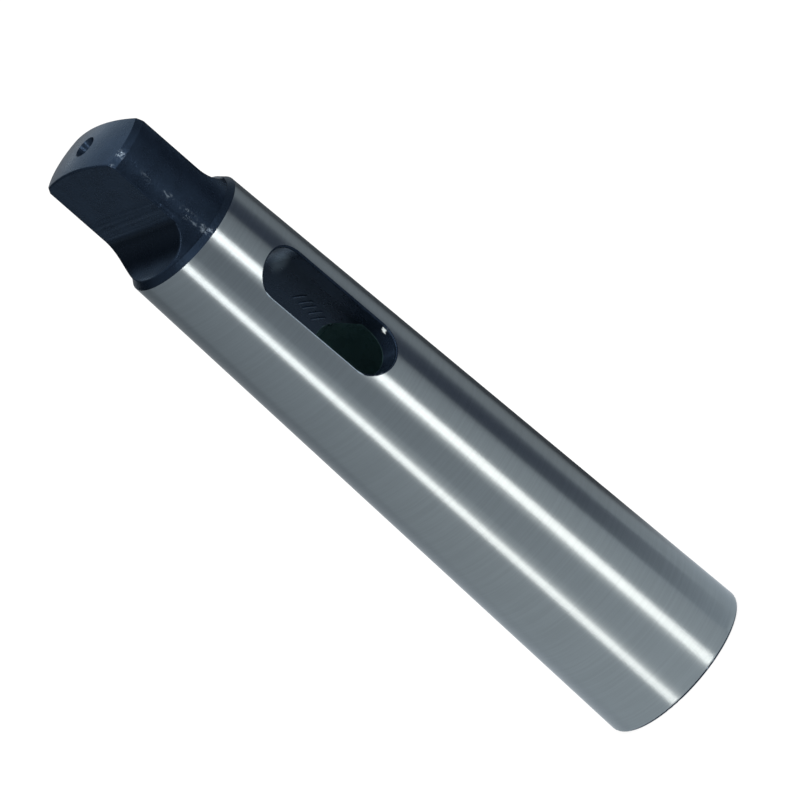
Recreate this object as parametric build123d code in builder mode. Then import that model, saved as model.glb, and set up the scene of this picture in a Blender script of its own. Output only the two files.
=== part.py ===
from build123d import *
import os
from math import radians, tan

# Reducing sleeve for taper-shank drills: a size 3 taper outside and a size 2 socket inside.
# It is one piece of steel, turned, bored, milled, blackened and then ground on the taper.
# It stands on its big end. Z runs up the axis, from the mouth of the socket to the tip of
# the tang. The drift slot goes through along Y, and the tang's two flats face along X.

# Socket: its mouth, its taper, and the plain relief bore that ends beside the slot
socket_mouth_diameter = 17.780
socket_taper_share = 1 / 20.020
socket_taper_depth = 57.66
relief_past_slot_start = 5.0
mouth_chamfer = 0.8
drill_point_angle = 118.0

# Outer taper: the wall that it leaves around the socket from one gauge diameter to the
# other, the share of its length that it gains, and the height of its gauge plane
gauge_wall = 3.0225
outer_taper_share = 1 / 19.922
outer_gauge_height = 20.0
rim_radius = 0.6

# Drift slot, milled right through with a cutter as wide as the slot
slot_height = 63.0
slot_length = 23.5
slot_width = 8.0
slot_edge_radius = 0.25

# Solid web between the slot and the end of the ground taper
web_length = 8.5

# Tang: its chamfered step in from the taper, its round sides and domed tip, and its two
# milled flats, which end in the radius of their cutter just above the chamfer. The cutter's
# round ends a little outside the tang's round sides, so it leaves no ledge there
tang_length = 19.0
tang_step = 0.7
tang_step_length = 0.9
tang_thickness = 8.8
dome_rise = 1.6
dome_chamfer = 0.7
run_out_clearance = 0.3698
run_out_gap = 1.0
tang_edge_radius = 0.3

# Centre hole in the tip: a cone for the lathe centre over a small pilot
centre_mouth_diameter = 3.5
centre_angle = 60.0
centre_pilot_diameter = 1.6
centre_pilot_depth = 1.8

# How far every cut runs past the metal that it takes away
overrun = 2.0

# Heights up the axis, and the outer taper's gauge diameter
outer_gauge_diameter = socket_mouth_diameter + 2 * gauge_wall
slot_top = slot_height + slot_length
ground_end_height = slot_top + web_length
neck_height = ground_end_height + tang_step_length
run_out_height = ground_end_height + run_out_gap
sleeve_length = ground_end_height + tang_length
dome_edge_height = sleeve_length - dome_rise
relief_depth = slot_height + relief_past_slot_start


def outer_radius(height):
    """Radius of the outer taper at a height above the big end."""
    return (outer_gauge_diameter + (outer_gauge_height - height) * outer_taper_share) / 2


def socket_radius(depth):
    """Radius of the socket's taper at a depth above its mouth."""
    return (socket_mouth_diameter - depth * socket_taper_share) / 2


# Radii, and the heights that depend on them
big_radius = outer_radius(0)
small_radius = outer_radius(ground_end_height)
tang_radius = small_radius - tang_step
flat_distance = tang_thickness / 2
run_out_radius = tang_radius + run_out_clearance - flat_distance
flat_end_height = run_out_height + run_out_radius
relief_radius = socket_radius(socket_taper_depth)
dome_radius = (tang_radius**2 + dome_rise**2) / (2 * dome_rise)
drill_point_depth = relief_depth + relief_radius / tan(radians(drill_point_angle / 2))
centre_cone_radius = centre_mouth_diameter / 2
centre_pilot_radius = centre_pilot_diameter / 2
centre_cone_depth = (centre_cone_radius - centre_pilot_radius) / tan(radians(centre_angle / 2))


def ring_edges(part):
    """The round edges that lie square to the axis, from the lowest to the highest."""
    return part.edges().filter_by(GeomType.CIRCLE).filter_by(Plane.XY).sort_by(Axis.Z)


def off_axis(edge):
    """Distance of an edge's middle from the axis."""
    middle = edge @ 0.5
    return Vector(middle.X, middle.Y).length


with BuildPart() as sleeve:
    # Turned outside: the taper, the chamfered step, the round tang and its domed tip
    with BuildSketch(Plane.XZ) as outside:
        with BuildLine() as outside_line:
            Polyline(
                (0, sleeve_length),
                (0, 0),
                (big_radius, 0),
                (small_radius, ground_end_height),
                (tang_radius, neck_height),
                (tang_radius, dome_edge_height),
            )
            RadiusArc((tang_radius, dome_edge_height), (0, sleeve_length), -dome_radius)
        make_face()
    revolve(axis=Axis.Z)
    fillet(ring_edges(sleeve)[0], radius=rim_radius)
    chamfer(ring_edges(sleeve)[-1], length=dome_chamfer)

    # Flats of the tang: each curves out into the step with the radius of its cutter
    with BuildSketch(Plane.XZ) as flats:
        with BuildLine() as flat_line:
            Line((flat_distance, sleeve_length + overrun), (flat_distance, flat_end_height))
            RadiusArc(
                (flat_distance, flat_end_height),
                (flat_distance + run_out_radius, run_out_height),
                -run_out_radius,
            )
            Polyline(
                (flat_distance + run_out_radius, run_out_height),
                (big_radius + run_out_radius, run_out_height),
                (big_radius + run_out_radius, sleeve_length + overrun),
                (flat_distance, sleeve_length + overrun),
            )
        make_face()
        mirror(about=Plane.YZ)
    extrude(amount=big_radius + overrun, both=True, mode=Mode.SUBTRACT)
    tang_edges = sleeve.edges(Select.NEW).filter_by(lambda edge: (edge @ 0.5).Z > neck_height)
    fillet(tang_edges, radius=tang_edge_radius)

    # Drift slot, with the sharp edges taken off where it breaks out of the taper
    with BuildSketch(Plane.XZ) as slot:
        with Locations((0, (slot_height + slot_top) / 2)):
            SlotOverall(slot_length, slot_width, rotation=90)
    extrude(amount=big_radius + overrun, both=True, mode=Mode.SUBTRACT)
    slot_rims = sleeve.edges(Select.NEW).filter_by(lambda edge: off_axis(edge) > relief_radius)
    fillet(slot_rims, radius=slot_edge_radius)

    # Socket: the mouth's chamfer, the taper, the relief bore and the drill's point
    with BuildSketch(Plane.XZ) as socket:
        with BuildLine() as socket_line:
            Polyline(
                (0, -overrun),
                (socket_radius(0) + mouth_chamfer + overrun, -overrun),
                (socket_radius(mouth_chamfer), mouth_chamfer),
                (relief_radius, socket_taper_depth),
                (relief_radius, relief_depth),
                (0, drill_point_depth),
                close=True,
            )
        make_face()
    revolve(axis=Axis.Z, mode=Mode.SUBTRACT)

    # Centre hole in the tip
    with BuildSketch(Plane.XZ) as centre:
        with BuildLine() as centre_line:
            Polyline(
                (0, sleeve_length + overrun),
                (centre_cone_radius, sleeve_length + overrun),
                (centre_cone_radius, sleeve_length),
                (centre_pilot_radius, sleeve_length - centre_cone_depth),
                (centre_pilot_radius, sleeve_length - centre_cone_depth - centre_pilot_depth),
                (0, sleeve_length - centre_cone_depth - centre_pilot_depth),
                close=True,
            )
        make_face()
    revolve(axis=Axis.Z, mode=Mode.SUBTRACT)

sleeve.part.label = "sleeve"

os.makedirs("parts", exist_ok=True)
export_step(sleeve.part, "parts/sleeve.step")
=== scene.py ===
"""Dresses a reducing sleeve for taper-shank drills: ground bright steel on both tapers, black
oxide on the tang, the drift slot and the ends, in a plain white studio."""

import math
from typing import NamedTuple

import bpy
import numpy as np
from bpy.props import FloatProperty, FloatVectorProperty, PointerProperty
from mathutils import Matrix, Vector


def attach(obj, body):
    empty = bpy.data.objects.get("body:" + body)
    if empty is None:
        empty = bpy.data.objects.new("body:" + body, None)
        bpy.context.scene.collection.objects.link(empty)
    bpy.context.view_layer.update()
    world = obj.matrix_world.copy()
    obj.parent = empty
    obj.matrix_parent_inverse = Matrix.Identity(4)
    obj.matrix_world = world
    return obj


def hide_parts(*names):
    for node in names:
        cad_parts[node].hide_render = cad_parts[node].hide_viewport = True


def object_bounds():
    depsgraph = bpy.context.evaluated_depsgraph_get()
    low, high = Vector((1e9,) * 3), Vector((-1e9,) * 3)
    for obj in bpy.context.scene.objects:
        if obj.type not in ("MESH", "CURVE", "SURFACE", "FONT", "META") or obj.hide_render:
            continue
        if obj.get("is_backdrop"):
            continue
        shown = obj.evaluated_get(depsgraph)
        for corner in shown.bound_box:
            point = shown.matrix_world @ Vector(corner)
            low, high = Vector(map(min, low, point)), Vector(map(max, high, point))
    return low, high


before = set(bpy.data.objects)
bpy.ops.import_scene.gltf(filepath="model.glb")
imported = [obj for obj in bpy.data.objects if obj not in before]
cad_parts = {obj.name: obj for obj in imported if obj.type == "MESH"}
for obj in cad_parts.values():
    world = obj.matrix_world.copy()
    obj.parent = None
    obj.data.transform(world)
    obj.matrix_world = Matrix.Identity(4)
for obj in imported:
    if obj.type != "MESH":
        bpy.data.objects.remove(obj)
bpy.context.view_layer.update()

bl_info = {
    "name": "Reducing sleeve",
    "version": (1, 0, 0),
    "blender": (4, 5, 0),
    "location": "3D View > Sidebar > Sleeve",
    "description": "Finishes a tapered reducing sleeve and lights it in a white studio",
    "category": "Object",
}

MM = 0.001
SLEEVE = "sleeve"
WHITE = (1.0, 1.0, 1.0, 1.0)


class SleeveSizes(bpy.types.PropertyGroup):
    """Sizes of the sleeve that its finishes follow."""

    outer_gauge_diameter: FloatProperty(
        name="Outer gauge diameter", description="Diameter of the outer taper at its gauge plane",
        default=23.825 * MM, unit="LENGTH", precision=5)
    outer_gauge_height: FloatProperty(
        name="Outer gauge height", description="Height of the gauge plane above the big end",
        default=20.0 * MM, unit="LENGTH", precision=5)
    outer_taper_share: FloatProperty(
        name="Outer taper", description="Diameter that the outer taper gains per length",
        default=1 / 19.922, precision=5)
    ground_end_height: FloatProperty(
        name="Ground end", description="Height at which the ground taper ends under the tang",
        default=95.0 * MM, unit="LENGTH", precision=5)
    rim_radius: FloatProperty(
        name="Rim radius", description="Radius of the rounded rim at the big end",
        default=0.6 * MM, unit="LENGTH", precision=5)
    socket_mouth_diameter: FloatProperty(
        name="Socket mouth", description="Diameter of the socket's taper at its mouth",
        default=17.780 * MM, unit="LENGTH", precision=5)
    socket_taper_share: FloatProperty(
        name="Socket taper", description="Diameter that the socket loses per length",
        default=1 / 20.020, precision=5)
    socket_taper_depth: FloatProperty(
        name="Socket taper depth", description="Depth at which the ground socket ends",
        default=57.66 * MM, unit="LENGTH", precision=5)
    tang_thickness: FloatProperty(
        name="Tang thickness", description="Distance between the two flats of the tang",
        default=8.8 * MM, unit="LENGTH", precision=5)
    tang_step: FloatProperty(
        name="Tang step", description="How far the tang's round sides lie inside the taper's end",
        default=0.7 * MM, unit="LENGTH", precision=5)
    tang_radius: FloatProperty(
        name="Tang radius", description="Radius of the tang's round sides",
        default=9.33 * MM, unit="LENGTH", precision=5)
    dome_edge_height: FloatProperty(
        name="Dome edge", description="Height at which the domed tip meets the round sides",
        default=112.4 * MM, unit="LENGTH", precision=5)
    slot_width: FloatProperty(
        name="Slot width", description="Width of the drift slot",
        default=8.0 * MM, unit="LENGTH", precision=5)
    slot_height: FloatProperty(
        name="Slot height", description="Height of the drift slot's lower end",
        default=63.0 * MM, unit="LENGTH", precision=5)
    relief_radius: FloatProperty(
        name="Relief radius", description="Radius of the drilled bore above the socket",
        default=7.45 * MM, unit="LENGTH", precision=5)
    drill_tip_height: FloatProperty(
        name="Drill tip height", description="Height that the drill's point reached in the slot",
        default=72.476 * MM, unit="LENGTH", precision=5)
    drill_slope: FloatProperty(
        name="Drill slope", description="Radius that the drill's point gains per length",
        default=math.tan(math.radians(59.0)))
    nick_place: FloatVectorProperty(
        name="Nick", description="Place of the nick in the slot's rim",
        subtype="TRANSLATION", size=3, default=(4.0 * MM, -9.25 * MM, 65.9 * MM))
    surface_tolerance: FloatProperty(
        name="Surface tolerance", description="How near a point counts as on a turned surface",
        default=0.003 * MM, unit="LENGTH", precision=6)


class SleeveFinish(bpy.types.PropertyGroup):
    """Colours and roughness of the sleeve's two finishes."""

    steel_colour: FloatVectorProperty(
        name="Ground steel", description="Colour of the ground steel on the tapers",
        subtype="COLOR", size=3, min=0, max=1, default=(0.172, 0.199, 0.212))
    steel_edge: FloatVectorProperty(
        name="Steel at an angle", description="Tint of the steel where it is seen along its face",
        subtype="COLOR", size=3, min=0, max=1, default=(0.74, 0.76, 0.78))
    steel_roughness: FloatProperty(
        name="Steel roughness", description="Roughness of the ground steel",
        subtype="FACTOR", min=0, max=1, default=0.3)
    grain: FloatProperty(
        name="Lengthwise spread", description="How far the grinding marks stretch a reflection",
        subtype="FACTOR", min=0, max=1, default=1.0)
    # Colour that the steel's colour is multiplied by at the tang: darker and bluer there
    tang_end_colour: FloatVectorProperty(
        name="Tang end", description="What the bath's haze leaves of the steel's colour at the tang",
        subtype="COLOR", size=3, min=0, max=1, default=(0.92, 0.94, 0.97))
    oxide_colour: FloatVectorProperty(
        name="Black oxide", description="Colour of the black oxide on the tang and in the slot",
        subtype="COLOR", size=3, min=0, max=1, default=(0.0072, 0.0130, 0.0238))
    oxide_edge: FloatVectorProperty(
        name="Oxide at an angle", description="Tint of the black where it is seen along its face",
        subtype="COLOR", size=3, min=0, max=1, default=(0.57, 0.62, 0.67))
    oxide_roughness: FloatProperty(
        name="Oxide roughness", description="Roughness of the black oxide",
        subtype="FACTOR", min=0, max=1, default=0.28)
    # Colour of the bare specks at the tip, and of the painted highlights on the round sides and one
    # slot edge
    worn_and_highlit_colour: FloatVectorProperty(
        name="Worn and highlit black", description="Colour where the black is worn or scuffed off",
        subtype="COLOR", size=3, min=0, max=1, default=(0.27, 0.35, 0.43))
    # Colour of the painted highlight on one wall of the slot, under its upper end
    slot_highlight_colour: FloatVectorProperty(
        name="Slot highlight", description="Colour where drift keys have rubbed the slot's wall",
        subtype="COLOR", size=3, min=0, max=1, default=(0.07, 0.095, 0.12))
    bore_colour: FloatVectorProperty(
        name="Drilled bore", description="Colour of the drilled bore under the slot",
        subtype="COLOR", size=3, min=0, max=1, default=(0.055, 0.115, 0.125))


class StudioSettings(bpy.types.PropertyGroup):
    """Camera, floor and lamps of the studio."""

    azimuth: FloatProperty(
        name="Azimuth", description="Camera's angle round the sleeve's axis",
        subtype="ANGLE", default=math.radians(-30.84))
    elevation: FloatProperty(
        name="Elevation", description="Camera's angle above the floor",
        subtype="ANGLE", default=math.radians(19.085))
    roll: FloatProperty(
        name="Roll", description="Camera's turn about its own line of sight",
        subtype="ANGLE", default=math.radians(48.842))
    distance: FloatProperty(
        name="Distance", description="Distance from the camera to the big end's centre",
        unit="LENGTH", default=3.7026)
    scale: FloatProperty(
        name="Picture scale", description="Picture widths that one metre takes at the sleeve",
        default=9.053875)
    across: FloatProperty(
        name="Across", description="How far the big end lies right of the picture's middle",
        unit="LENGTH", default=38.011 * MM)
    down: FloatProperty(
        name="Down", description="How far the big end lies below the picture's middle",
        unit="LENGTH", default=36.283 * MM)
    floor_white: FloatProperty(
        name="Floor white", description="Share of plain white in what the camera sees of the floor",
        subtype="FACTOR", min=0, max=1, default=0.88)
    floor_tint: FloatVectorProperty(
        name="Floor tint", description="Cool tint of the floor where the sleeve reflects it",
        subtype="COLOR", size=3, min=0, max=2, default=(0.93, 0.985, 1.04))
    strip_tint: FloatVectorProperty(
        name="Strip tint", description="Warm tint of the two upright strips",
        subtype="COLOR", size=3, min=0, max=1, default=(1.0, 0.90, 0.81))


class TurnedSurface(NamedTuple):
    """A turned or bored surface: its radius at height zero, what the radius loses per length,
    and the heights that it lies between."""

    name: str
    radius: object
    slope: object
    low: object
    high: object


class Spot(NamedTuple):
    """A shaded point: its place, x, height, radius and depth under the ground taper, and its x
    and y with one side turned half round onto the other, so that both get the same marks."""

    place: object
    x: object
    z: object
    radius: object
    depth: object
    turned_x: object
    turned_y: object


class Nodes:
    """Adds nodes to a tree and links them, in few words."""

    def __init__(self, tree):
        self.tree = tree

    def add(self, kind, inputs=None, **settings):
        """A node with its settings made and its inputs given."""
        node = self.tree.nodes.new(kind)
        for name, value in settings.items():
            setattr(node, name, value)
        for name, value in (inputs or {}).items():
            self.give(node.inputs[name], value)
        return node

    def give(self, socket, value):
        """Link another node's output to a socket, or set the socket to a plain value."""
        if isinstance(value, bpy.types.NodeSocket):
            self.tree.links.new(value, socket)
        else:
            socket.default_value = value

    def math(self, operation, *values):
        node = self.tree.nodes.new("ShaderNodeMath")
        node.operation = operation
        for socket, value in zip(node.inputs, values):
            self.give(socket, value)
        return node.outputs[0]

    def product(self, first, *others):
        """All the values multiplied."""
        for other in others:
            first = self.math("MULTIPLY", first, other)
        return first

    def highest(self, first, *others):
        """The highest of the values."""
        for other in others:
            first = self.math("MAXIMUM", first, other)
        return first

    def ramp(self, value, low, high, result_low=0.0, result_high=1.0):
        """A smooth step from one result to the other as the value goes from low to high."""
        node = self.add("ShaderNodeMapRange", {
            "Value": value, "From Min": low, "From Max": high,
            "To Min": result_low, "To Max": result_high}, interpolation_type="SMOOTHSTEP")
        return node.outputs["Result"]

    def fall(self, value, low, high):
        """A smooth step down from one to nothing as the value goes from low to high."""
        return self.ramp(value, low, high, 1.0, 0.0)

    def mix_colour(self, share, first, second, **settings):
        node = self.add("ShaderNodeMix", data_type="RGBA", **settings)
        for index, value in ((0, share), (6, first), (7, second)):
            self.give(node.inputs[index], value)
        return node.outputs[2]

    def mix_value(self, share, first, second):
        node = self.add("ShaderNodeMix", data_type="FLOAT")
        for index, value in ((0, share), (2, first), (3, second)):
            self.give(node.inputs[index], value)
        return node.outputs[0]

    def axes(self, place):
        """The x, y and z of a place."""
        return self.add("ShaderNodeSeparateXYZ", {0: place}).outputs[:]

    def vector(self, x=0.0, y=0.0, z=0.0):
        return self.add("ShaderNodeCombineXYZ", {0: x, 1: y, 2: z}).outputs[0]

    def length(self, vector):
        node = self.add("ShaderNodeVectorMath", {0: vector}, operation="LENGTH")
        return node.outputs["Value"]

    def radius(self, x, y):
        """Distance from the sleeve's axis."""
        return self.math("SQRT", self.math(
            "ADD", self.math("MULTIPLY", x, x), self.math("MULTIPLY", y, y)))

    def tapered(self, radius, slope, height):
        """Radius at a height, where it loses the slope per length."""
        return self.math("SUBTRACT", radius, self.math("MULTIPLY", height, slope))

    def noise(self, place, across, along, detail=2.0, roughness=0.5):
        """Noise with so many cells to a metre across the axis, and so many along it."""
        stretched = self.add("ShaderNodeMapping", {
            "Vector": place, "Scale": (across, across, along)})
        node = self.add("ShaderNodeTexNoise", {
            "Vector": stretched.outputs["Vector"], "Scale": 1.0, "Detail": detail,
            "Roughness": roughness})
        return node.outputs["Fac"]


def new_tree(name, inputs, takes_geometry):
    """Geometry Nodes tree with its named inputs, each a kind of socket and its value."""
    tree = bpy.data.node_groups.new(name, "GeometryNodeTree")
    tree.is_modifier = True
    ports = tree.interface
    if takes_geometry:
        ports.new_socket("Geometry", in_out="INPUT", socket_type="NodeSocketGeometry")
    ports.new_socket("Geometry", in_out="OUTPUT", socket_type="NodeSocketGeometry")
    for label, (kind, value) in inputs.items():
        port = ports.new_socket(label, in_out="INPUT", socket_type="NodeSocket" + kind)
        if value is not None:
            port.default_value = value
    n = Nodes(tree)
    return tree, n, n.add("NodeGroupInput").outputs


def turned_surfaces(n, given):
    """The sleeve's turned and bored surfaces, from the named inputs of its tree."""
    ground_end, socket_end = given["Ground end height"], given["Socket taper depth"]
    over_the_tip = 1.0
    outer_slope = n.math("MULTIPLY", given["Outer taper"], 0.5)
    outer_radius = n.math("MULTIPLY_ADD", given["Outer gauge height"], outer_slope,
                          n.math("MULTIPLY", given["Outer gauge diameter"], 0.5))
    socket_slope = n.math("MULTIPLY", given["Socket taper"], 0.5)
    socket_radius = n.math("MULTIPLY", given["Socket mouth diameter"], 0.5)
    relief_radius = n.tapered(socket_radius, socket_slope, socket_end)
    tang_radius = n.math("SUBTRACT", n.tapered(outer_radius, outer_slope, ground_end),
                         given["Tang step"])
    return (
        TurnedSurface("outer_taper", outer_radius, outer_slope, 0.0, ground_end),
        TurnedSurface("socket_taper", socket_radius, socket_slope, 0.0, socket_end),
        TurnedSurface("relief_bore", relief_radius, 0.0, socket_end, ground_end),
        TurnedSurface("tang_round", tang_radius, 0.0, ground_end, over_the_tip))


def skin_tree(sizes):
    """Tree that lays the sleeve's faces exactly on its turned surfaces and gives each its finish.

    The solid's faces come in coarse. Each face whose corners all lie on one turned surface is
    marked, the mesh is divided, and the marked faces' points go out to that surface.
    """
    tree, n, given = new_tree("sleeve_skin", {
        "Outer gauge diameter": ("Float", sizes.outer_gauge_diameter),
        "Outer gauge height": ("Float", sizes.outer_gauge_height),
        "Outer taper": ("Float", sizes.outer_taper_share),
        "Ground end height": ("Float", sizes.ground_end_height),
        "Socket mouth diameter": ("Float", sizes.socket_mouth_diameter),
        "Socket taper": ("Float", sizes.socket_taper_share),
        "Socket taper depth": ("Float", sizes.socket_taper_depth),
        "Tang step": ("Float", sizes.tang_step),
        "Rim radius": ("Float", sizes.rim_radius),
        "Black share of rim": ("Float", 0.65),
        "Surface tolerance": ("Float", sizes.surface_tolerance),
        "Merge distance": ("Float", 0.0005 * MM),
        "Divisions": ("Int", 1),
        "Ground steel": ("Material", None),
        "Black oxide": ("Material", None)}, takes_geometry=True)
    tolerance, rim_radius = given["Surface tolerance"], given["Rim radius"]
    nearly_all = 0.999
    x, y, z = n.axes(n.add("GeometryNodeInputPosition").outputs[0])
    radius = n.radius(x, y)
    surfaces = turned_surfaces(n, given)

    solid = n.add("GeometryNodeMergeByDistance", {
        "Geometry": given["Geometry"], "Distance": given["Merge distance"]}).outputs[0]
    wanted = {}
    for surface in surfaces:
        wanted[surface.name] = n.tapered(surface.radius, surface.slope, z)
        off = n.math("ABSOLUTE", n.math("SUBTRACT", radius, wanted[surface.name]))
        whole = n.product(
            n.math("LESS_THAN", off, tolerance),
            n.math("GREATER_THAN", n.math("ADD", z, tolerance), surface.low),
            n.math("LESS_THAN", n.math("SUBTRACT", z, tolerance), surface.high))
        share = n.add("GeometryNodeFieldOnDomain", {"Value": whole}, domain="POINT",
                      data_type="FLOAT").outputs[0]
        solid = n.add("GeometryNodeStoreNamedAttribute", {
            "Geometry": solid, "Name": surface.name,
            "Value": n.math("GREATER_THAN", share, nearly_all)},
            domain="FACE", data_type="BOOLEAN").outputs[0]

    solid = n.add("GeometryNodeSubdivideMesh", {
        "Mesh": solid, "Level": given["Divisions"]}).outputs[0]
    marks = {}
    for surface in surfaces:
        marks[surface.name] = n.add("GeometryNodeInputNamedAttribute", {
            "Name": surface.name}, data_type="BOOLEAN").outputs[0]
        stretch = n.math("DIVIDE", wanted[surface.name], radius)
        solid = n.add("GeometryNodeSetPosition", {
            "Geometry": solid, "Selection": marks[surface.name],
            "Position": n.vector(n.math("MULTIPLY", x, stretch), n.math("MULTIPLY", y, stretch),
                                 z)}).outputs[0]

    # Black all over, then ground steel on both tapers and on the outer part of the rim
    ground_rim = n.product(
        n.math("LESS_THAN", z, rim_radius),
        n.math("GREATER_THAN", radius, n.math("SUBTRACT", wanted["outer_taper"], rim_radius)),
        n.math("GREATER_THAN", z, n.math("MULTIPLY", rim_radius, given["Black share of rim"])))
    solid = n.add("GeometryNodeRealizeInstances", {"Geometry": solid}).outputs[0]
    solid = n.add("GeometryNodeSetMaterial", {
        "Geometry": solid, "Material": given["Black oxide"]}).outputs[0]
    for chosen in (marks["outer_taper"], marks["socket_taper"], ground_rim):
        solid = n.add("GeometryNodeSetMaterial", {
            "Geometry": solid, "Selection": chosen, "Material": given["Ground steel"]}).outputs[0]
    n.add("NodeGroupOutput", {"Geometry": solid})
    return tree


def apply_tree(thing, tree, materials):
    """Give an object the plain mesh that a tree makes of it, with the tree's named materials."""
    rule = thing.modifiers.new(tree.name, "NODES")
    rule.node_group = tree
    for port in tree.interface.items_tree:
        if port.in_out == "INPUT" and port.name in materials:
            rule[port.identifier] = materials[port.name]
    graph = bpy.context.evaluated_depsgraph_get()
    mesh = bpy.data.meshes.new_from_object(
        thing.evaluated_get(graph), preserve_all_data_layers=True, depsgraph=graph)
    mesh.name = thing.name
    for index in reversed(range(len(mesh.materials))):
        if mesh.materials[index] is None:
            mesh.materials.pop(index=index)
    thing.data = mesh
    thing.modifiers.remove(rule)


def exact_normals(mesh, sizes):
    """Give each corner the solid's own normal, or the turned surface's where it is on one."""
    corners = len(mesh.loops)
    normals = np.empty(corners * 3, np.float32)
    mesh.attributes["solid_normal"].data.foreach_get("vector", normals)
    normals = normals.reshape(-1, 3)
    points = np.empty(len(mesh.vertices) * 3, np.float32)
    mesh.vertices.foreach_get("co", points)
    owner = np.empty(corners, np.int32)
    mesh.loops.foreach_get("vertex_index", owner)
    at = points.reshape(-1, 3)[owner]
    sides = np.empty(len(mesh.polygons), np.int32)
    mesh.polygons.foreach_get("loop_total", sides)
    outward = {
        "outer_taper": (1.0, sizes.outer_taper_share / 2),
        "socket_taper": (-1.0, -sizes.socket_taper_share / 2),
        "relief_bore": (-1.0, 0.0),
        "tang_round": (1.0, 0.0)}
    for name, (sign, rise) in outward.items():
        marked = np.empty(len(mesh.polygons), bool)
        mesh.attributes[name].data.foreach_get("value", marked)
        chosen = np.repeat(marked, sides)
        radial = at[chosen, :2]
        normals[chosen, :2] = sign * radial / np.linalg.norm(radial, axis=1)[:, None]
        normals[chosen, 2] = rise
    normals /= np.linalg.norm(normals, axis=1)[:, None]
    mesh.normals_split_custom_set(normals)
    for name in (*outward, "solid_normal"):
        mesh.attributes.remove(mesh.attributes[name])


def chatter_tree(sizes):
    """Tree of the short slanting ridges that the slot's cutter left on both long walls."""
    tree, n, given = new_tree("slot_chatter", {
        "Ridges": ("Int", 5),
        "Ridge length": ("Float", 2.8 * MM),
        "Ridge radius": ("Float", 0.2 * MM),
        "Ridge height share": ("Float", 0.35),
        "Ridge bow share": ("Float", 0.04),
        "Ridge end share": ("Float", 0.1),
        "Ridge spacing": ("Float", 1.08 * MM),
        "Ridge shift": ("Float", -0.3 * MM),
        "Ridge slant": ("Float", math.radians(11.0)),
        "Lowest ridge": ("Float", sizes.slot_height + 8.6 * MM),
        "Slot width": ("Float", sizes.slot_width),
        "Stray sideways": ("Float", 0.25 * MM),
        "Stray upward": ("Float", 0.1 * MM),
        "Seed": ("Int", 4),
        "Black oxide": ("Material", None)}, takes_geometry=False)
    ridge_length, end_share = given["Ridge length"], given["Ridge end share"]
    sharpness = 3.0

    # One ridge: a thin bowed line across the wall, pointed at its ends and flattened
    line = n.add("GeometryNodeCurveQuadraticBezier", {
        "Resolution": 8,
        "Start": n.vector(y=n.math("MULTIPLY", ridge_length, -0.5)),
        "Middle": n.vector(z=n.math("MULTIPLY", ridge_length, given["Ridge bow share"])),
        "End": n.vector(y=n.math("MULTIPLY", ridge_length, 0.5))})
    along = n.add("GeometryNodeSplineParameter").outputs["Factor"]
    off_middle = n.math("ABSOLUTE", n.math("MULTIPLY_ADD", along, 2.0, -1.0))
    full = n.math("SUBTRACT", 1.0, n.math("POWER", off_middle, sharpness))
    line = n.add("GeometryNodeSetCurveRadius", {
        "Curve": line.outputs[0], "Radius": n.mix_value(full, end_share, 1.0)})
    outline = n.add("GeometryNodeCurvePrimitiveCircle", {
        "Resolution": 8, "Radius": given["Ridge radius"]})
    ridge = n.add("GeometryNodeCurveToMesh", {
        "Curve": line.outputs[0], "Profile Curve": outline.outputs[0], "Fill Caps": True})
    ridge = n.add("GeometryNodeTransform", {
        "Geometry": ridge.outputs[0], "Scale": n.vector(given["Ridge height share"], 1.0, 1.0)})

    # A row of ridges up each wall, each a little out of true
    stray = n.vector(0.0, given["Stray sideways"], given["Stray upward"])
    astray = n.add("ShaderNodeVectorMath", {0: stray, "Scale": -1.0}, operation="SCALE")
    both = n.add("GeometryNodeJoinGeometry")
    for width_share in (0.5, -0.5):
        row = n.add("GeometryNodeMeshLine", {
            "Count": given["Ridges"],
            "Start Location": n.vector(n.math("MULTIPLY", given["Slot width"], width_share),
                                       z=given["Lowest ridge"]),
            "Offset": n.vector(y=given["Ridge shift"], z=given["Ridge spacing"])})
        stir = n.add("FunctionNodeRandomValue", {
            "Min": astray.outputs[0], "Max": stray, "Seed": given["Seed"]},
            data_type="FLOAT_VECTOR")
        row = n.add("GeometryNodeSetPosition", {
            "Geometry": row.outputs[0], "Offset": stir.outputs[0]})
        placed = n.add("GeometryNodeInstanceOnPoints", {
            "Points": row.outputs[0], "Instance": ridge.outputs[0],
            "Rotation": n.vector(given["Ridge slant"])})
        n.tree.links.new(placed.outputs[0], both.inputs[0])
    real = n.add("GeometryNodeRealizeInstances", {"Geometry": both.outputs[0]})
    done = n.add("GeometryNodeSetMaterial", {
        "Geometry": real.outputs[0], "Material": given["Black oxide"]})
    n.add("NodeGroupOutput", {"Geometry": done.outputs[0]})
    return tree


def new_material(name):
    """A material without nodes, and the means to add them."""
    material = bpy.data.materials.new(name)
    material.use_nodes = True
    material.node_tree.nodes.clear()
    return material, Nodes(material.node_tree)


def rgba(colour, strength=1.0):
    """A colour times a strength, with its alpha added."""
    return (*(part * strength for part in colour), 1.0)


def marks_round_axis(n, place):
    """Direction round the sleeve's axis, which the grinding and turning marks follow."""
    around = n.add("ShaderNodeVectorMath", {0: (0.0, 0.0, 1.0), 1: place},
                   operation="CROSS_PRODUCT")
    around = n.add("ShaderNodeVectorMath", {0: around.outputs[0]}, operation="NORMALIZE")
    return around.outputs[0]


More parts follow.
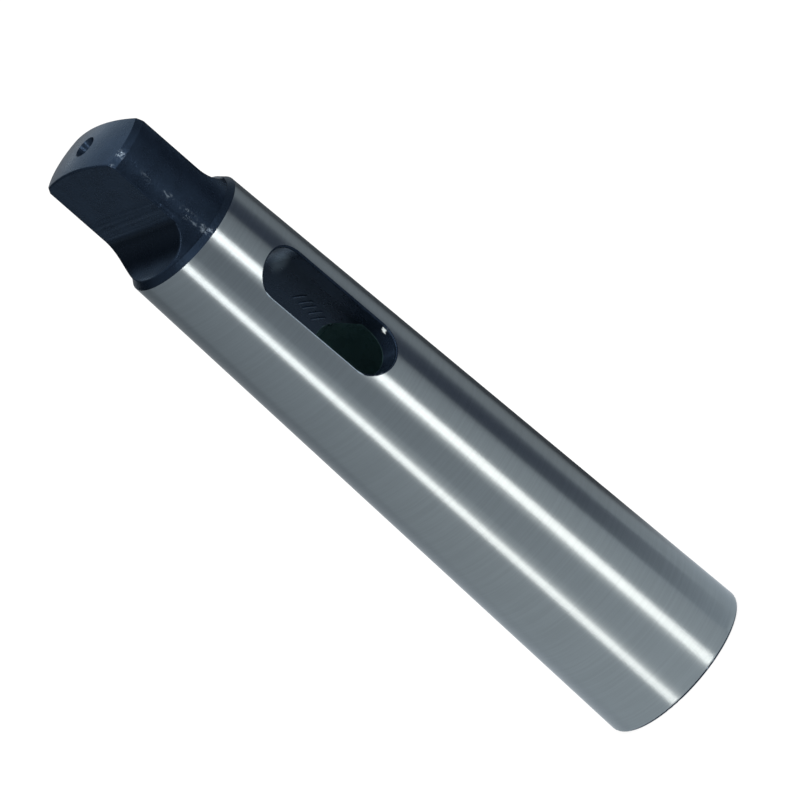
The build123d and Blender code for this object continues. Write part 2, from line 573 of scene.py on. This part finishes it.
def steel_material(sizes, finish):
    """Ground steel: fine rings left by the wheel, a faint cloudiness, and a colour that grows
    darker and bluer towards the tang."""
    ring_edge, ring_contrast = (0.3, 0.7), 0.04
    ring_strength, ring_depth = 0.1, 0.01 * MM
    cloud_contrast = 0.06
    darkening_start_share = 0.3
    quarter_turn = 0.25

    material, n = new_material("steel_ground_bright")
    place = n.add("ShaderNodeTexCoord").outputs["Object"]
    rings = n.noise(place, across=60.0, along=3000.0, detail=3.0, roughness=0.6)
    cloud = n.noise(place, across=90.0, along=30.0)
    colour = n.mix_colour(n.ramp(rings, *ring_edge),
                          rgba(finish.steel_colour, 1.0 - ring_contrast),
                          rgba(finish.steel_colour, 1.0 + ring_contrast))
    # The steel's colour turns darker and bluer towards the tang
    darker_to_tang = n.ramp(n.axes(place)[2], darkening_start_share * sizes.ground_end_height,
                  sizes.ground_end_height)
    colour = n.mix_colour(darker_to_tang, colour, rgba(finish.tang_end_colour), blend_type="MULTIPLY")
    roughness = n.math("ADD", finish.steel_roughness, n.math(
        "MULTIPLY", n.math("SUBTRACT", cloud, 0.5), cloud_contrast))
    bump = n.add("ShaderNodeBump", {
        "Strength": ring_strength, "Distance": ring_depth, "Height": rings})
    shader = n.add("ShaderNodeBsdfPrincipled", {
        "Base Color": colour, "Metallic": 1.0, "Roughness": roughness,
        "Anisotropic": finish.grain, "Anisotropic Rotation": quarter_turn,
        "Specular Tint": rgba(finish.steel_edge), "Normal": bump.outputs["Normal"],
        "Tangent": marks_round_axis(n, place)})
    n.add("ShaderNodeOutputMaterial", {"Surface": shader.outputs[0]})
    return material


def find_spot(n, sizes):
    """Where the shaded point lies on the sleeve."""
    place = n.add("ShaderNodeTexCoord").outputs["Object"]
    x, y, z = n.axes(place)
    radius = n.radius(x, y)
    taper_radius = n.math(
        "MULTIPLY_ADD", n.math("SUBTRACT", sizes.outer_gauge_height, z),
        sizes.outer_taper_share / 2, sizes.outer_gauge_diameter / 2)
    return Spot(place, x, z, radius, n.math("SUBTRACT", taper_radius, radius),
                n.math("MULTIPLY", x, n.math("SIGN", y)), n.math("ABSOLUTE", y))


def ridge_place(sizes):
    """Where the tang's flats meet its round sides: x and y of that ridge."""
    x = sizes.tang_thickness / 2
    return x, math.sqrt(sizes.tang_radius**2 - x**2)


def below_web(n, spot, sizes):
    """One at the slot and under it, nothing from the web under the tang upwards."""
    web_inset, fade = 3.0 * MM, 0.5 * MM
    foot = sizes.ground_end_height
    return n.fall(spot.z, foot - web_inset, foot - web_inset + fade)


def tip_specks(n, spot, sizes):
    """Bare specks on the tip's rim: at the end of each ridge, and a little way round from it."""
    ridge_x, ridge_y = ridge_place(sizes)
    inset, core = 0.1 * MM, 0.1 * MM
    ridge_end, ridge_end_size = (ridge_x - inset, ridge_y - inset), 0.55 * MM
    on_rim, on_rim_size = (2.4 * MM, 8.85 * MM), 1.0 * MM
    speck_edge = (0.45, 0.85)

    bare = n.noise(spot.place, across=2600.0, along=2600.0, roughness=0.6)
    bare = n.ramp(bare, *speck_edge)
    specks = 0.0
    for (centre_x, centre_y), size in ((ridge_end, ridge_end_size), (on_rim, on_rim_size)):
        reach = n.length(n.vector(
            n.math("SUBTRACT", spot.turned_x, centre_x),
            n.math("SUBTRACT", spot.turned_y, centre_y),
            n.math("SUBTRACT", spot.z, sizes.dome_edge_height)))
        specks = n.highest(specks, n.product(n.fall(reach, core, size), bare))
    return specks


def side_highlight_specks(n, spot, sizes, streak):
    """Painted highlight: pale specks down the tang's round sides, beside the ridges where a strip's
    reflection falls, and more of them near the shoulder.
    """
    inner_edge, outer_edge = (1.9 * MM, 2.4 * MM), (2.9 * MM, 3.6 * MM)
    past_ridge = (0.3 * MM, 0.5 * MM)
    more_from, less_from = 2.0 * MM, 4.0 * MM
    more, less = 0.13, -0.1
    patch_edge, streak_edge = (0.46, 0.6), (0.47, 0.68)
    top_edge = (-4.5 * MM, -3.5 * MM)
    strength = 0.23

    foot, top = sizes.ground_end_height, sizes.dome_edge_height
    ridge_y = ridge_place(sizes)[1]
    beside = n.product(
        n.ramp(spot.turned_x, *inner_edge), n.fall(spot.turned_x, *outer_edge),
        n.ramp(spot.turned_y, *(ridge_y + step for step in past_ridge)))
    patch = n.math("ADD", n.noise(spot.place, across=330.0, along=330.0, detail=1.0),
                   n.ramp(spot.z, foot + more_from, top - less_from, more, less))
    return n.product(beside, n.ramp(patch, *patch_edge), n.ramp(streak, *streak_edge),
                     n.fall(spot.z, *(top + step for step in top_edge)), strength)


def ground_edge_highlight(n, spot, sizes):
    """Bright line where the grinding wheel just reached one long edge of the drift slot, made
    brighter by a painted highlight where a strip's light catches that edge.
    """
    offset, strength = 0.16 * MM, 0.5
    line_edge, skin_edge = (0.1 * MM, 0.16 * MM), (0.1 * MM, 0.16 * MM)
    aside = n.math("ABSOLUTE", n.math(
        "SUBTRACT", spot.turned_x, sizes.slot_width / 2 + offset))
    return n.product(n.fall(spot.depth, *skin_edge), below_web(n, spot, sizes),
                     n.fall(aside, *line_edge), strength)


def nick_glint(n, spot, sizes, streak):
    """Ragged nick in the slot's rim from a drift key, where a painted highlight goes."""
    raggedness, nick_edge = 1.6 * MM, (0.3 * MM, 0.6 * MM)
    reach = n.add("ShaderNodeVectorMath", {0: spot.place, 1: sizes.nick_place},
                  operation="DISTANCE").outputs["Value"]
    ragged = n.math("MULTIPLY_ADD", n.math("SUBTRACT", streak, 0.5), raggedness, reach)
    return n.fall(ragged, *nick_edge)


def drilled_bore(n, spot, sizes):
    """The drilled bore under the slot, which took less of the black."""
    bore_edge = (-0.08 * MM, -0.03 * MM)
    cone_radius = n.math(
        "MULTIPLY", n.math("SUBTRACT", sizes.drill_tip_height, spot.z), sizes.drill_slope)
    bore_radius = n.math("MINIMUM", sizes.relief_radius, cone_radius)
    return n.ramp(n.math("SUBTRACT", bore_radius, spot.radius), *bore_edge)


def slot_rims(n, spot, sizes):
    """The rounded edges where the slot breaks out of the taper."""
    rim_edge = (0.25 * MM, 0.4 * MM)
    return n.product(below_web(n, spot, sizes), n.fall(spot.depth, *rim_edge))


def painted_shade_black(n, spot, sizes, rims):
    """Painted shade: the black darkened in the tang's run-outs, and by half on its chamfered step
    and on the slot's rims."""
    inside_round = (-0.012 * MM, -0.002 * MM)
    low_edge, high_edge = (1.2 * MM, 2.4 * MM), (5.3 * MM, 6.3 * MM)
    step_edge, by_half = (0.95 * MM, 1.05 * MM), 0.5

    foot = sizes.ground_end_height
    run_out = n.product(
        n.fall(spot.radius, *(sizes.tang_radius + step for step in inside_round)),
        n.ramp(spot.z, *(foot + step for step in low_edge)),
        n.fall(spot.z, *(foot + step for step in high_edge)))
    step_in = n.product(n.math("GREATER_THAN", spot.z, foot),
                        n.fall(spot.z, *(foot + step for step in step_edge)), by_half)
    return n.highest(run_out, step_in, n.product(rims, by_half))


def thin_black(n, spot, sizes, rims):
    """Where the black is thin: from the slot's low end down, but not on its rims."""
    low_end = (2.0 * MM, 4.0 * MM)
    return n.product(n.math("SUBTRACT", 1.0, rims),
                     n.fall(spot.z, *(sizes.slot_height + step for step in low_end)))


def painted_highlight_patch(n, spot, sizes):
    """Painted highlight: a slanting patch on one wall under the slot's upper end, where light
    through the far opening reflects.
    """
    centre_y, centre_rise, slant = 4.6 * MM, 19.5 * MM, 0.3
    half_width, half_height = 4.4 * MM, 1.5 * MM
    patch_edge = (0.2, 1.0)
    wall_from = -2.0 * MM

    inward = n.math("SUBTRACT", spot.turned_y, centre_y)
    upward = n.math("SUBTRACT", n.math("SUBTRACT", spot.z, sizes.slot_height + centre_rise),
                    n.math("MULTIPLY", inward, slant))
    reach = n.length(n.vector(
        n.math("DIVIDE", inward, half_width), n.math("DIVIDE", upward, half_height)))
    return n.product(n.fall(reach, *patch_edge), n.math("LESS_THAN", spot.turned_x, wall_from),
                     n.math("LESS_THAN", spot.radius, sizes.tang_radius))


def cutter_lines(n, spot, sizes):
    """Faint lines across the tang's flats, where the cutter slowed down before the run-out."""
    flat_edge = (0.2 * MM, 0.6 * MM)
    low_edge, high_edge = (4.0 * MM, 6.0 * MM), (8.0 * MM, 10.5 * MM)
    foot = sizes.ground_end_height
    off_flat = n.math("ABSOLUTE", n.math(
        "SUBTRACT", n.math("ABSOLUTE", spot.x), ridge_place(sizes)[0]))
    return n.product(
        n.noise(spot.place, across=40.0, along=1300.0, detail=1.0),
        n.fall(off_flat, *flat_edge),
        n.ramp(spot.z, *(foot + step for step in low_edge)),
        n.fall(spot.z, *(foot + step for step in high_edge)))


def oxide_material(name, sizes, finish, lightness=1.0):
    """Black oxide: mottled navy black and grainy, thinner in places, bare at the tip's rim, with
    painted shade in the run-outs and on edges and painted highlights on the sides and in the slot.
    """
    mottle_edge, mottle_low, mottle_high = (0.3, 0.7), 0.9, 1.12
    shade_level, thin, glint_lightness = 0.45, 1.9, 3.0
    mottle_roughness, mottle_relief, line_relief = 0.16, 0.5, 4.0
    grain_depth = 0.03 * MM
    metallic, metallic_lost, specular = 0.75, -0.6, 0.05

    material, n = new_material(name)
    spot = find_spot(n, sizes)
    mottle = n.noise(spot.place, across=350.0, along=350.0, detail=3.0, roughness=0.6)
    grain = n.noise(spot.place, across=3500.0, along=3500.0)
    streak = n.noise(spot.place, across=2200.0, along=1300.0, roughness=0.6)
    rims = slot_rims(n, spot, sizes)
    # Bare specks at the tip, and painted highlights on the round sides and one slot edge
    worn_and_highlit = n.highest(tip_specks(n, spot, sizes), side_highlight_specks(n, spot, sizes, streak),
                     ground_edge_highlight(n, spot, sizes))
    nick_glint_share = nick_glint(n, spot, sizes, streak)
    drilled = drilled_bore(n, spot, sizes)

    black = [part * lightness for part in finish.oxide_colour]
    colour = n.mix_colour(n.ramp(mottle, *mottle_edge), rgba(black, mottle_low),
                          rgba(black, mottle_high))
    for share, shade in (
            # Painted shade in the run-outs, on the chamfered step and on the slot's rims
            (painted_shade_black(n, spot, sizes, rims), rgba(black, shade_level)),
            (thin_black(n, spot, sizes, rims), rgba(black, thin)),
            # Painted highlight on one wall under the slot's upper end
            (painted_highlight_patch(n, spot, sizes), rgba(finish.slot_highlight_colour)),
            (drilled, rgba(finish.bore_colour)),
            # Bare specks at the tip and painted highlights
            (worn_and_highlit, rgba(finish.worn_and_highlit_colour)),
            # Painted highlight: the nick in steel three times as light
            (nick_glint_share, rgba(finish.steel_colour, glint_lightness))):
        colour = n.mix_colour(share, colour, shade)

    roughness = n.math("ADD", finish.oxide_roughness, n.math(
        "MULTIPLY", n.math("SUBTRACT", mottle, 0.5), mottle_roughness))
    relief = n.math("MULTIPLY_ADD", cutter_lines(n, spot, sizes), line_relief,
                    n.math("MULTIPLY_ADD", mottle, mottle_relief, grain))
    bump = n.add("ShaderNodeBump", {
        "Strength": 1.0, "Distance": grain_depth, "Height": relief})
    dull = n.highest(worn_and_highlit, nick_glint_share, drilled)
    shader = n.add("ShaderNodeBsdfPrincipled", {
        "Base Color": colour, "Metallic": n.math("MULTIPLY_ADD", dull, metallic_lost, metallic),
        "Roughness": roughness, "Specular IOR Level": specular,
        "Specular Tint": rgba(finish.oxide_edge), "Normal": bump.outputs["Normal"]})
    n.add("ShaderNodeOutputMaterial", {"Surface": shader.outputs[0]})
    return material


def floor_light(n):
    """Distance from the sleeve, and the floor's light in reflections: less with distance."""
    near_light, far_light, far = 1.3, 0.32, 0.42
    distance = n.length(n.add("ShaderNodeTexCoord").outputs["Object"])
    return distance, n.ramp(distance, 0.0, far, near_light, far_light)


def sight(n):
    """Two masks: where the camera looks on directly, and where it does that or sees the place
    in a reflection."""
    rays = n.add("ShaderNodeLightPath").outputs
    return rays["Is Camera Ray"], n.highest(
        rays["Is Glossy Ray"], rays["Is Transmission Ray"], rays["Is Camera Ray"])


def floor_material(settings):
    """Pale paint that the camera sees as nearly plain white, and reflections as a little less
    the further it lies from the sleeve."""
    paint_colour = (0.8, 0.8, 0.8, 1.0)
    plain_from, plain_to = 0.5, 2.0

    material, n = new_material("floor_white")
    camera, seen = sight(n)
    distance, light = floor_light(n)
    share = n.mix_value(camera, settings.floor_white, n.ramp(
        distance, plain_from, plain_to, settings.floor_white, 1.0))
    paint = n.add("ShaderNodeBsdfDiffuse", {"Color": paint_colour})
    white = n.add("ShaderNodeEmission", {
        "Color": n.mix_colour(camera, rgba(settings.floor_tint), WHITE),
        "Strength": n.mix_value(camera, light, 1.0)})
    mixed = n.add("ShaderNodeMixShader", {
        0: n.product(seen, share), 1: paint.outputs[0], 2: white.outputs[0]})
    n.add("ShaderNodeOutputMaterial", {"Surface": mixed.outputs[0]})
    return material


def sheet(name, corners, faces, paint):
    """A thin sheet of the stage, flat or folded."""
    mesh = bpy.data.meshes.new(name)
    mesh.from_pydata(corners, [], faces)
    mesh.materials.append(paint)
    thing = bpy.data.objects.new(name, mesh)
    bpy.context.scene.collection.objects.link(thing)
    return thing


def place_floor(settings):
    """Floor under the sleeve."""
    half, height = 6.0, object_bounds()[0][2]
    corners = [(-half, -half, height), (half, -half, height),
               (half, half, height), (-half, half, height)]
    floor = sheet("floor", corners, [(0, 1, 2, 3)], floor_material(settings))
    floor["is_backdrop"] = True


def toward(azimuth):
    """Level direction from the axis at an azimuth."""
    return Vector((math.sin(azimuth), -math.cos(azimuth), 0.0))


def softbox(name, azimuth, distance, height, width, length, radiance, tint):
    """A rectangular lamp that stands round the sleeve and faces its middle."""
    middle_height = 0.057
    lamp = bpy.data.lights.new(name, "AREA")
    lamp.shape = "RECTANGLE"
    lamp.size = width
    lamp.size_y = length
    lamp.energy = radiance * math.pi * width * length
    lamp.color = tint
    thing = bpy.data.objects.new(name, lamp)
    bpy.context.scene.collection.objects.link(thing)
    place = toward(azimuth) * distance + Vector((0.0, 0.0, height))
    back = (place - Vector((0.0, 0.0, middle_height))).normalized()
    across = Vector((math.cos(azimuth), math.sin(azimuth), 0.0))
    turn = Matrix((across, back.cross(across), back)).transposed()
    thing.matrix_world = Matrix.Translation(place) @ turn.to_4x4()


def place_softboxes(settings):
    """Two upright strips in front, one softbox overhead and one behind for the tip. Angles are
    in degrees."""
    strip, white = settings.strip_tint, WHITE[:3]
    for name, azimuth, distance, height, width, length, radiance, tint in (
            ("strip_right", 0.8, 0.9, 0.40, 0.235, 1.0, 18.6, strip),
            ("strip_left", -68.0, 0.9, 0.40, 0.185, 1.0, 18.0, strip),
            ("overhead", 0.0, 0.02, 1.2, 1.5, 1.5, 2.8, white),
            ("back", 141.0, 1.0, 0.74, 0.6, 1.0, 1.5, white)):
        softbox(name, math.radians(azimuth), distance, height, width, length, radiance, tint)


def flag_material(name, colour, first, full, tint):
    """Light of a flag: the floor's own up to a first distance from the sleeve, and the flag's
    colour from the full distance on."""
    material, n = new_material(name)
    distance, level = floor_light(n)
    floor = n.add("ShaderNodeVectorMath", {0: tint, "Scale": level}, operation="SCALE")
    glow = n.add("ShaderNodeEmission", {
        "Color": n.mix_colour(n.ramp(distance, first, full), floor.outputs[0], rgba(colour)),
        "Strength": 1.0})
    n.add("ShaderNodeOutputMaterial", {"Surface": glow.outputs[0]})
    return material


def flag(name, sides, reach, top, paint):
    """A dark card that only reflections see: it runs out on the floor between its two sides,
    each a foot and a direction, then stands up, and leaves a dark streak on the ground steel."""
    lift = Vector((0.0, 0.0, MM))
    rise = Vector((0.0, 0.0, top))
    corners = []
    for foot, way in sides:
        corners += [foot + lift, foot + way * reach + lift, foot + way * reach + rise]
    card = sheet(name, corners, [(0, 1, 4, 3), (1, 2, 5, 4)], paint)
    card.visible_camera = False
    card.visible_shadow = False
    card.visible_diffuse = False
    card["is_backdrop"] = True


def place_flags(settings):
    """Flags: three side by side right of the sleeve, which the body reflects, and one each for
    the run-out, the tip and the steel between the strips. Angles are in degrees."""
    fade, front_fade = (0.034, 0.076), (0.06, 0.235)
    paints = {name: flag_material("flag_" + name, colour, *edge, settings.floor_tint)
              for name, colour, edge in (
                  ("slate", (0.122, 0.142, 0.2), fade),
                  ("grey", (0.72, 0.745, 0.77), fade),
                  ("black", (0.03, 0.034, 0.045), fade),
                  ("dim", (0.4, 0.41, 0.43), fade),
                  ("shade", (0.14, 0.16, 0.2), front_fade))}

    # A side starts where the body stands on the floor at one turn from the camera, and runs the
    # way that the body reflects the camera's sight at another
    body_radius, side_reach = 12.7 * MM, 0.35
    for name, first, last, first_foot, top, paint in (
            ("flag_right", 38.5, 55.0, 42.0, 0.30, "slate"),
            ("flag_side", 57.0, 70.0, 57.0, 0.03, "grey"),
            ("flag_far", 70.0, 89.0, 70.0, 0.03, "black")):
        sides = [(toward(settings.azimuth + math.radians(foot)) * body_radius,
                  toward(settings.azimuth + 2 * math.radians(turn)))
                 for turn, foot in ((first, first_foot), (last, last))]
        flag(name, sides, side_reach, top, paints[paint])

    for name, first, last, foot, reach, top, paint in (
            ("flag_back", -182.0, -148.0, 0.55, 0.05, 0.6, "black"),
            ("flag_tip", 135.0, 172.0, 0.4, 0.9, 0.002, "dim"),
            ("flag_front", -48.0, -15.0, 0.05, 1.15, 0.002, "shade")):
        ways = [toward(math.radians(turn)) for turn in (first, last)]
        flag(name, [(way * foot, way) for way in ways], reach, top, paints[paint])


def place_camera(scene, settings):
    """Camera, by its angles and by where the big end's centre falls in the picture."""
    az, el, roll = settings.azimuth, settings.elevation, settings.roll
    back = Vector((math.cos(el) * math.sin(az), -math.cos(el) * math.cos(az), math.sin(el)))
    level = Vector((math.cos(az), math.sin(az), 0.0))
    upright = back.cross(level)
    up = math.cos(roll) * upright + math.sin(roll) * level
    right = math.cos(roll) * level - math.sin(roll) * upright
    place = settings.distance * back - settings.across * right + settings.down * up
    data = bpy.data.cameras.new("camera")
    data.sensor_width = 36.0
    data.lens = settings.scale * settings.distance * data.sensor_width
    data.clip_end = 100.0
    camera = bpy.data.objects.new("camera", data)
    camera.matrix_world = (
        Matrix.Translation(place) @ Matrix((right, up, back)).transposed().to_4x4())
    scene.collection.objects.link(camera)
    scene.camera = camera


def light_world(scene):
    """World: plain white to the camera, a little less in reflections, soft fill for the rest."""
    fill, reflected = 0.6, 0.85
    world = bpy.data.worlds.new("studio")
    world.use_nodes = True
    world.node_tree.nodes.clear()
    n = Nodes(world.node_tree)
    camera, seen = sight(n)
    sky = n.add("ShaderNodeBackground", {
        "Color": WHITE,
        "Strength": n.mix_value(camera, n.mix_value(seen, fill, reflected), 1.0)})
    n.add("ShaderNodeOutputWorld", {"Surface": sky.outputs[0]})
    scene.world = world


class BuildSleeve(bpy.types.Operator):
    """Build the sleeve: exact turned surfaces, ground steel on both tapers, black elsewhere"""

    bl_idname = "sleeve.body"
    bl_label = "Build sleeve"

    def execute(self, context):
        solid = bpy.data.objects.get(SLEEVE)
        if solid is None:
            raise RuntimeError("The frame has no sleeve")
        sizes, finish = context.scene.sleeve_sizes, context.scene.sleeve_finish

        mesh = solid.data.copy()
        normals = np.empty(len(mesh.loops) * 3, np.float32)
        mesh.corner_normals.foreach_get("vector", normals)
        mesh.attributes.new("solid_normal", "FLOAT_VECTOR", "CORNER").data.foreach_set(
            "vector", normals)
        mesh.materials.clear()
        body = bpy.data.objects.new("sleeve_body", mesh)
        context.scene.collection.objects.link(body)
        apply_tree(body, skin_tree(sizes), {
            "Ground steel": steel_material(sizes, finish),
            "Black oxide": oxide_material("steel_black_oxide", sizes, finish)})
        exact_normals(body.data, sizes)

        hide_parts(SLEEVE)
        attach(body, "root")
        return {"FINISHED"}


class AddChatter(bpy.types.Operator):
    """Add the cutter's chatter marks on the walls of the drift slot"""

    bl_idname = "sleeve.chatter"
    bl_label = "Add chatter marks"

    def execute(self, context):
        sizes, finish = context.scene.sleeve_sizes, context.scene.sleeve_finish
        # The ridges' black is painted twice as light: a painted highlight on them
        ridge_highlight_lightness = 2.0
        marks = bpy.data.objects.new("slot_chatter", bpy.data.meshes.new("slot_chatter"))
        context.scene.collection.objects.link(marks)
        apply_tree(marks, chatter_tree(sizes), {
            "Black oxide": oxide_material("steel_black_ridge_highlight", sizes, finish, ridge_highlight_lightness)})
        if not marks.data.polygons:
            raise RuntimeError("The chatter marks came out empty")

        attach(marks, "root")
        return {"FINISHED"}


class BuildStudio(bpy.types.Operator):
    """Set the camera, the floor and the lights"""

    bl_idname = "sleeve.studio"
    bl_label = "Build studio"

    def execute(self, context):
        scene, settings = context.scene, context.scene.sleeve_studio
        scene.view_settings.view_transform = "Standard"
        place_camera(scene, settings)
        place_floor(settings)
        light_world(scene)
        place_softboxes(settings)
        place_flags(settings)
        return {"FINISHED"}


class SleevePanel(bpy.types.Panel):
    """Lists the sleeve's operators and settings"""

    bl_idname = "VIEW3D_PT_sleeve"
    bl_label = "Reducing sleeve"
    bl_space_type = "VIEW_3D"
    bl_region_type = "UI"
    bl_category = "Sleeve"

    def draw(self, context):
        layout = self.layout
        for group in (context.scene.sleeve_sizes, context.scene.sleeve_finish,
                      context.scene.sleeve_studio):
            column = layout.column(align=True)
            for name in group.__annotations__:
                column.prop(group, name)
        layout.operator(BuildSleeve.bl_idname)
        layout.operator(AddChatter.bl_idname)
        layout.operator(BuildStudio.bl_idname)


GROUPS = {"sleeve_sizes": SleeveSizes, "sleeve_finish": SleeveFinish,
          "sleeve_studio": StudioSettings}
CLASSES = (SleeveSizes, SleeveFinish, StudioSettings, BuildSleeve, AddChatter, BuildStudio,
           SleevePanel)


def register():
    for cls in CLASSES:
        bpy.utils.register_class(cls)
    for name, group in GROUPS.items():
        setattr(bpy.types.Scene, name, PointerProperty(type=group))


def unregister():
    for name in GROUPS:
        delattr(bpy.types.Scene, name)
    for cls in reversed(CLASSES):
        bpy.utils.unregister_class(cls)


def main():
    register()
    bpy.ops.sleeve.body()
    bpy.ops.sleeve.chatter()
    bpy.ops.sleeve.studio()


if __name__ == "__main__":
    main()
